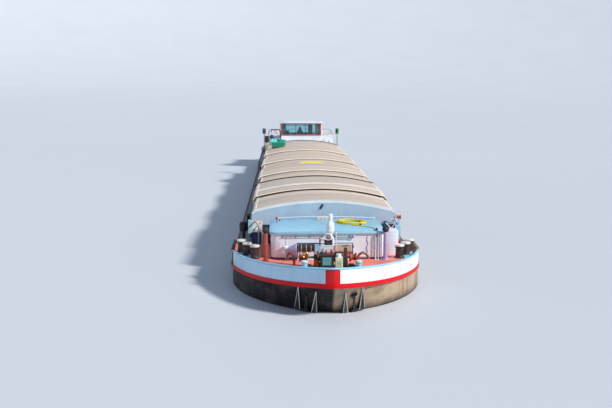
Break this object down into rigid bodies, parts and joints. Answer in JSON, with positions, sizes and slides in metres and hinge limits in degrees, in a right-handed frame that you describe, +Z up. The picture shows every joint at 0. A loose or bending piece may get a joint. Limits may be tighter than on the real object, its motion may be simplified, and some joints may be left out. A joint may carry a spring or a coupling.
{
  "type": "scale model of a river barge",
  "caption": "Self-propelled inland cargo barge at 1:2 with an arched sliding hatch, hollow hold, wheelhouse, foredeck gear, screw and rudder.",
  "frame": {"origin": "on the flat bottom of the hull, at mid-length on the centre line; the waterline is 0.85 m above it", "axes": "+X towards the bow, +Y to port, +Z up"},
  "size_m": [33.5, 4.1, 3.2],
  "materials": {
    "hull_tar": "matt tar, weathered grey-brown to port",
    "bow_white": "semi-gloss white with a red stem stripe",
    "belt_red": "semi-gloss",
    "rail_blue": "semi-gloss",
    "deck_salmon": "matt deck paint",
    "house_white": "satin",
    "roof_blue": "satin",
    "navy": "satin",
    "hatch_grey": "weathered matt",
    "board_pale": "satin with a white rim",
    "rusty_iron": "rusty black paint, pale caps",
    "machinery_red": "worn red-brown and black",
    "anchor_black": "tarred",
    "rope_yellow": "laid fibre",
    "mahogany": "varnished",
    "window_glass": "clear, slightly tinted",
    "dinghy_green": "gloss",
    "bronze": "polished by water",
    "light_board_green": "satin",
    "light_board_grey": "satin"
  },
  "bodies": {
    "barge_hull": {"hull_fore": "hull_tar", "hull_bottom": "hull_tar", "hull_side_port": "hull_tar", "hull_side_starboard": "hull_tar", "hull_aft": "hull_tar", "bow_band": "bow_white", "bow_belt": "belt_red", "bow_rail": "rail_blue", "foredeck": "deck_salmon", "coaming_port": "navy", "coaming_starboard": "navy", "coaming_front": "navy", "coaming_aft": "navy", "hatch_front_board": "board_pale", "bow_house": "house_white", "bow_house_roof": "roof_blue", "port_locker": "house_white", "bow_bollards_port": "rusty_iron", "bow_bollards_starboard": "rusty_iron", "bow_bitts": "rail_blue", "windlass_frame": "machinery_red", "windlass_drums": "machinery_red", "deck_racks": "navy", "foremast_foot": "house_white", "vent_post_port": "rusty_iron", "vent_post_starboard": "rusty_iron", "anchor_port": "anchor_black", "anchor_starboard": "anchor_black", "rope_coil": "rope_yellow", "rope_tail": "rope_yellow", "roof_cleat": "anchor_black", "stern_bulwark": "bow_white", "wheelhouse": "house_white", "wheelhouse_roof": "house_white", "wheelhouse_window_frame": "mahogany", "wheelhouse_glass": "window_glass", "wheelhouse_console": "mahogany", "aft_house": "house_white", "aft_house_roof": "roof_blue", "engine_casing": "house_white", "dinghy": "dinghy_green", "hatch_end_section": "hatch_grey", "light_board_port": "light_board_green", "light_board_starboard": "light_board_grey"},
    "cover_1": {"hatch_cover_1": "hatch_grey"},
    "cover_2": {"hatch_cover_2": "hatch_grey"},
    "cover_3": {"hatch_cover_3": "hatch_grey"},
    "cover_4": {"hatch_cover_4": "hatch_grey"},
    "cover_5": {"hatch_cover_5": "hatch_grey"},
    "cover_6": {"hatch_cover_6": "hatch_grey"},
    "cover_7": {"hatch_cover_7": "hatch_grey"},
    "cover_8": {"hatch_cover_8": "hatch_grey"},
    "mast": {"foremast": "house_white"},
    "screw": {"propeller": "bronze"},
    "rudder_blade": {"rudder": "hull_tar"},
    "davit_arm": {"davit": "house_white"},
    "bow_door": {"bow_house_door": "house_white"},
    "wheelhouse_port_door": {"wheelhouse_door_port": "mahogany"},
    "wheelhouse_starboard_door": {"wheelhouse_door_starboard": "mahogany"},
    "aft_door": {"aft_house_door": "mahogany"}
  },
  "joints": [
    {"name": "cover_1_slide", "type": "slide", "parent": "barge_hull", "child": "cover_1", "axis": [-1, 0, 0], "range_m": [0, 2]},
    {"name": "cover_2_slide", "type": "slide", "parent": "barge_hull", "child": "cover_2", "axis": [1, 0, 0], "range_m": [0, 1.9]},
    {"name": "cover_3_slide", "type": "slide", "parent": "barge_hull", "child": "cover_3", "axis": [-1, 0, 0], "range_m": [0, 1.6]},
    {"name": "cover_4_slide", "type": "slide", "parent": "barge_hull", "child": "cover_4", "axis": [1, 0, 0], "range_m": [0, 1.9]},
    {"name": "cover_5_slide", "type": "slide", "parent": "barge_hull", "child": "cover_5", "axis": [-1, 0, 0], "range_m": [0, 1.6]},
    {"name": "cover_6_slide", "type": "slide", "parent": "barge_hull", "child": "cover_6", "axis": [1, 0, 0], "range_m": [0, 1.9]},
    {"name": "cover_7_slide", "type": "slide", "parent": "barge_hull", "child": "cover_7", "axis": [-1, 0, 0], "range_m": [0, 1.6]},
    {"name": "cover_8_slide", "type": "slide", "parent": "barge_hull", "child": "cover_8", "axis": [1, 0, 0], "range_m": [0, 1.9]},
    {"name": "mast_fold", "type": "hinge", "parent": "barge_hull", "child": "mast", "pos_m": [15.375, 0, 1.71], "axis": [0, -1, 0], "range_deg": [0, 50]},
    {"name": "propeller_spin", "type": "hinge", "parent": "barge_hull", "child": "screw", "pos_m": [-15.125, 0, 0.43], "axis": [1, 0, 0], "continuous": true},
    {"name": "rudder_turn", "type": "hinge", "parent": "barge_hull", "child": "rudder_blade", "pos_m": [-15.675, 0, 0.42], "axis": [0, 0, 1], "range_deg": [-40, 40]},
    {"name": "davit_swing", "type": "hinge", "parent": "barge_hull", "child": "davit_arm", "pos_m": [-5.65, -1.02, 2.64], "axis": [0, 0, 1], "range_deg": [-30, 90]},
    {"name": "bow_door_swing", "type": "hinge", "parent": "barge_hull", "child": "bow_door", "pos_m": [13, 1.1853, 1.79], "axis": [0, 0, 1], "range_deg": [0, 100]},
    {"name": "wheelhouse_port_door_swing", "type": "hinge", "parent": "barge_hull", "child": "wheelhouse_port_door", "pos_m": [-12.33, 1.0503, 2.58], "axis": [0, 0, 1], "range_deg": [0, 100]},
    {"name": "wheelhouse_starboard_door_swing", "type": "hinge", "parent": "barge_hull", "child": "wheelhouse_starboard_door", "pos_m": [-12.33, -1.0503, 2.58], "axis": [0, 0, -1], "range_deg": [0, 100]},
    {"name": "aft_door_swing", "type": "hinge", "parent": "barge_hull", "child": "aft_door", "pos_m": [-15.5103, -0.6, 1.955], "axis": [0, 0, 1], "range_deg": [0, 100]}
  ]
}
